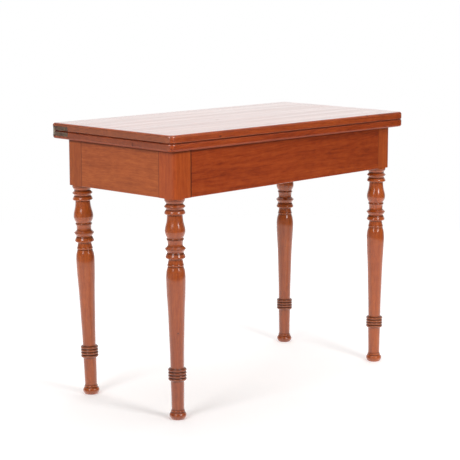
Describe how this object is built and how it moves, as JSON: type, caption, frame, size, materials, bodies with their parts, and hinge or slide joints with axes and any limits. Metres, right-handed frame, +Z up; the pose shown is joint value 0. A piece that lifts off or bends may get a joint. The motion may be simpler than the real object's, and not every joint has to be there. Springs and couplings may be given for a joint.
{
  "type": "games table",
  "caption": "Fold-over games table with turned legs: the closed leaves turn on an off-centre pivot over a card well, then unfold on brass hinges and rest on the frame.",
  "frame": {"origin": "on the floor under the centre of the closed top", "axes": "+X along the long side of the frame to the right, +Y to the back, where the leaves are hinged, +Z up"},
  "size_m": [0.9407, 0.5123, 0.757],
  "materials": {
    "leaf_wood": "gloss varnish",
    "frame_wood": "gloss varnish",
    "leg_wood": "gloss varnish",
    "inner_wood": "raw",
    "hinge_brass": "dull, tarnished",
    "link_brass": "dull, rubbed",
    "screw_brass": "dull",
    "pin_steel": "worn",
    "pivot_iron": "forged, oiled"
  },
  "bodies": {
    "frame": {"leg_front_left": "leg_wood", "leg_front_right": "leg_wood", "leg_back_left": "leg_wood", "leg_back_right": "leg_wood", "front_rail": "frame_wood", "back_rail": "frame_wood", "left_rail": "frame_wood", "right_rail": "frame_wood", "pivot_rail": "inner_wood", "well_bottom": "inner_wood", "well_partition": "inner_wood", "well_cleat_front": "inner_wood", "well_cleat_back": "inner_wood", "well_cleat_left": "inner_wood"},
    "lower_top": {"lower_leaf": "leaf_wood", "lower_hinge_plate_left": "hinge_brass", "lower_hinge_plate_right": "hinge_brass", "lower_hinge_screws": "screw_brass", "pivot_plate": "pivot_iron", "pivot_plate_screws": "pivot_iron", "pivot_pin": "pivot_iron", "pivot_washer": "pivot_iron", "pivot_nut": "pivot_iron", "stop_peg": "inner_wood"},
    "hinge_links": {"hinge_link_left": "link_brass", "hinge_link_right": "link_brass", "hinge_pins": "pin_steel"},
    "upper_top": {"upper_leaf": "leaf_wood", "upper_hinge_plate_left": "hinge_brass", "upper_hinge_plate_right": "hinge_brass", "upper_hinge_screws": "screw_brass"}
  },
  "joints": [
    {"name": "top_swivel", "type": "hinge", "parent": "frame", "child": "lower_top", "pos_m": [0.12218, 0.11412, 0.714], "axis": [0, 0, 1], "range_deg": [0, 92]},
    {"name": "link_swing", "type": "hinge", "parent": "lower_top", "child": "hinge_links", "pos_m": [0.00816, 0.23376, 0.7286], "axis": [-0.9994, 0.0349, 0], "range_deg": [0, 90]},
    {"name": "leaf_fold", "type": "hinge", "parent": "hinge_links", "child": "upper_top", "pos_m": [0.00816, 0.23376, 0.7424], "axis": [-0.9994, 0.0349, 0], "range_deg": [0, 90]}
  ],
  "couplings": [
    {"joint": "leaf_fold", "follows": "link_swing", "ratio": 1}
  ]
}
